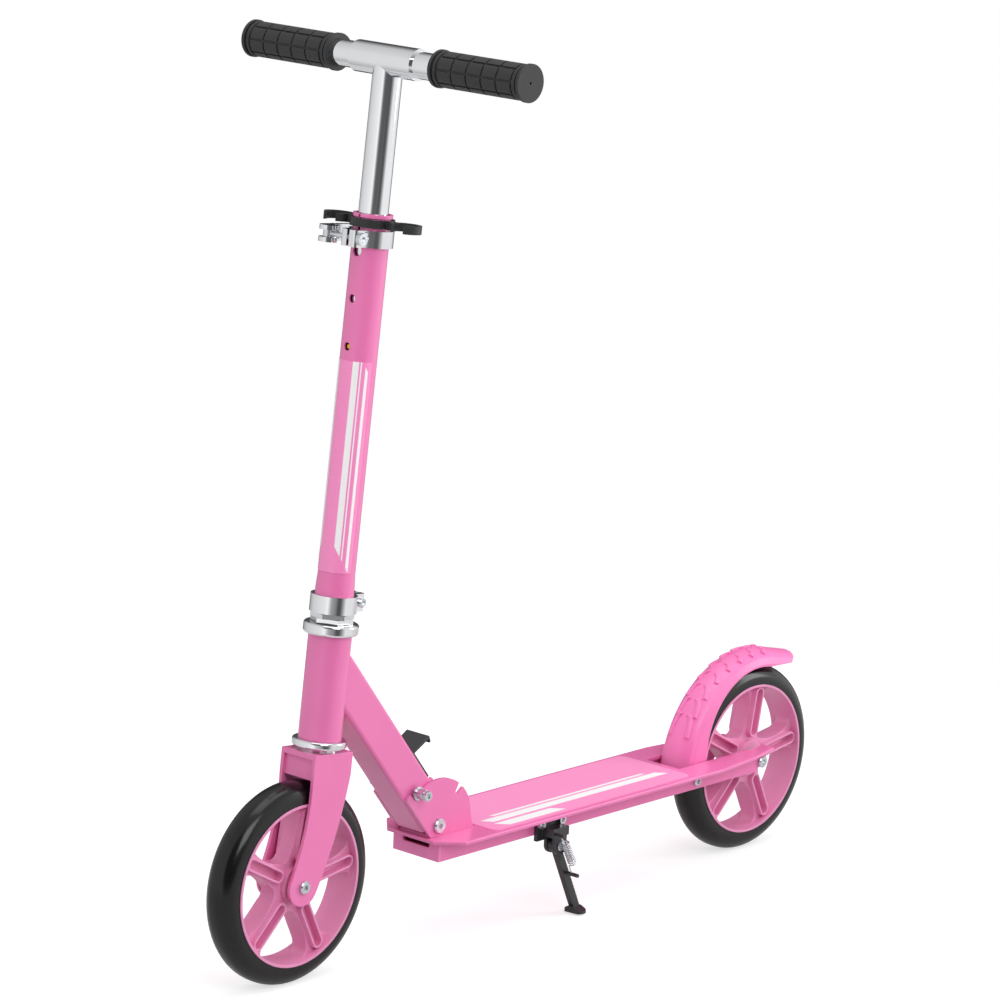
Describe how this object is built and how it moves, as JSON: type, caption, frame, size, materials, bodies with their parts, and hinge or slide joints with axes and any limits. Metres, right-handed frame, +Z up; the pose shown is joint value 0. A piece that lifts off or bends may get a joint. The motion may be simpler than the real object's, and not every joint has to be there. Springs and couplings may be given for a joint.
{
  "type": "folding kick scooter",
  "caption": "Folding kick scooter with large wheels, height-adjustable T handlebar with pull-out grips, rear fender brake and side kickstand.",
  "frame": {"origin": "on the ground, midway between the two axles, in the wheels' plane", "axes": "+Z up, -X forward, -Y the rider's left, the kickstand's side"},
  "size_m": [0.8824, 0.354, 0.899],
  "materials": {
    "deck_paint": "gloss pink paint",
    "bare_sheet": "printed sheet",
    "cap_paint": "gloss pink paint",
    "chrome": "polished",
    "zinc_steel": "zinc plated",
    "spring_steel": "plated wire",
    "black_steel": "satin black",
    "rim_plastic": "moulded pink",
    "tyre_rubber": "black PU",
    "grip_rubber": "matt",
    "black_plastic": "matt",
    "brass": "satin"
  },
  "bodies": {
    "deck_body": {"deck": "deck_paint", "deck_front_cap": "cap_paint", "deck_sheet": "bare_sheet", "fold_bracket": "deck_paint", "bracket_screws": "zinc_steel", "fold_pivot_bolt": "zinc_steel", "kickstand_bracket": "black_steel", "kickstand_screws": "zinc_steel", "kickstand_pivot_pin": "zinc_steel", "rear_axle": "zinc_steel", "rear_axle_spacers": "zinc_steel", "brake_pivot_bolt": "zinc_steel", "brake_pivot_spacers": "zinc_steel", "brake_spring": "spring_steel"},
    "frame_body": {"front_frame": "deck_paint", "headset_lower_cup": "chrome", "headset_upper_cup": "chrome", "headset_bearings": "zinc_steel"},
    "fold_lock": {"lock_pin": "zinc_steel", "release_lever": "black_steel", "lock_spring": "spring_steel"},
    "steering_body": {"fork": "deck_paint", "crown_race": "chrome", "headset_adjusting_nut": "chrome", "headset_lock_nut": "chrome", "stem_tube": "deck_paint", "stem_shim": "black_plastic", "stem_sheet": "bare_sheet", "stem_bush": "black_plastic", "lower_clamp": "chrome", "lower_clamp_bolt": "zinc_steel", "height_clamp": "chrome", "height_clamp_bolt": "zinc_steel", "grip_clip": "black_plastic", "front_axle": "zinc_steel", "front_axle_spacers": "zinc_steel"},
    "clamp_lever_body": {"clamp_lever": "chrome", "lever_pin": "zinc_steel"},
    "handlebar": {"t_bar": "chrome", "t_bar_guide": "black_plastic"},
    "height_button_body": {"height_button": "brass"},
    "left_bar": {"left_bar_tube": "chrome", "left_grip": "grip_rubber"},
    "right_bar": {"right_bar_tube": "chrome", "right_grip": "grip_rubber"},
    "left_button_body": {"left_bar_button": "brass"},
    "right_button_body": {"right_bar_button": "brass"},
    "front_wheel": {"front_tyre": "tyre_rubber", "front_rim": "rim_plastic", "front_bearings": "zinc_steel", "front_hub_spacer": "zinc_steel"},
    "rear_wheel": {"rear_tyre": "tyre_rubber", "rear_rim": "rim_plastic", "rear_bearings": "zinc_steel", "rear_hub_spacer": "zinc_steel"},
    "brake": {"brake_fender": "deck_paint"},
    "kickstand": {"kickstand_leg": "black_steel", "kickstand_spring": "spring_steel"}
  },
  "joints": [
    {"name": "fold", "type": "hinge", "parent": "deck_body", "child": "frame_body", "pos_m": [-0.1545, 0, 0.1247], "axis": [0, 1, 0], "range_deg": [0, 80]},
    {"name": "lock_slide", "type": "slide", "parent": "frame_body", "child": "fold_lock", "axis": [-0.632, 0, 0.7749], "range_m": [-0.0074, 0], "stiffness_N_per_m": 800, "springref_m": -0.014, "deforming": ["lock_spring"]},
    {"name": "steering", "type": "hinge", "parent": "frame_body", "child": "steering_body", "pos_m": [-0.29756, 0, 0.29678], "axis": [0.0938, 0, 0.9956], "range_deg": [-90, 90]},
    {"name": "clamp_lever", "type": "hinge", "parent": "steering_body", "child": "clamp_lever_body", "pos_m": [-0.28357, 0.031, 0.71732], "axis": [0.0938, 0, 0.9956], "range_deg": [0, 150]},
    {"name": "height", "type": "slide", "parent": "steering_body", "child": "handlebar", "axis": [0.0938, 0, 0.9956], "range_m": [0, 0.091]},
    {"name": "height_button", "type": "slide", "parent": "handlebar", "child": "height_button_body", "axis": [-0.9956, 0, 0.0938], "range_m": [0, 0.0044], "stiffness_N_per_m": 500, "springref_m": 0.009},
    {"name": "left_bar_pull", "type": "slide", "parent": "handlebar", "child": "left_bar", "axis": [0, -1, 0], "range_m": [0, 0.04]},
    {"name": "right_bar_pull", "type": "slide", "parent": "handlebar", "child": "right_bar", "axis": [0, 1, 0], "range_m": [0, 0.04]},
    {"name": "left_bar_button", "type": "slide", "parent": "left_bar", "child": "left_button_body", "axis": [0.9956, 0, -0.0938], "range_m": [0, 0.004], "stiffness_N_per_m": 500, "springref_m": 0.009},
    {"name": "right_bar_button", "type": "slide", "parent": "right_bar", "child": "right_button_body", "axis": [0.9956, 0, -0.0938], "range_m": [0, 0.004], "stiffness_N_per_m": 500, "springref_m": 0.009},
    {"name": "front_wheel_spin", "type": "hinge", "parent": "steering_body", "child": "front_wheel", "pos_m": [-0.3412, 0, 0.1], "axis": [0, 1, 0], "continuous": true},
    {"name": "rear_wheel_spin", "type": "hinge", "parent": "deck_body", "child": "rear_wheel", "pos_m": [0.3412, 0, 0.1], "axis": [0, 1, 0], "continuous": true},
    {"name": "brake", "type": "hinge", "parent": "deck_body", "child": "brake", "pos_m": [0.2336, 0, 0.0988], "axis": [0, 1, 0], "range_deg": [0, 2.2], "stiffness_Nm_per_rad": 8, "springref_deg": -5.73, "deforming": ["brake_spring"]},
    {"name": "kickstand", "type": "hinge", "parent": "deck_body", "child": "kickstand", "pos_m": [0, -0.042, 0.079], "axis": [0, -1, 0], "range_deg": [0, 66], "deforming": ["kickstand_spring"]}
  ]
}
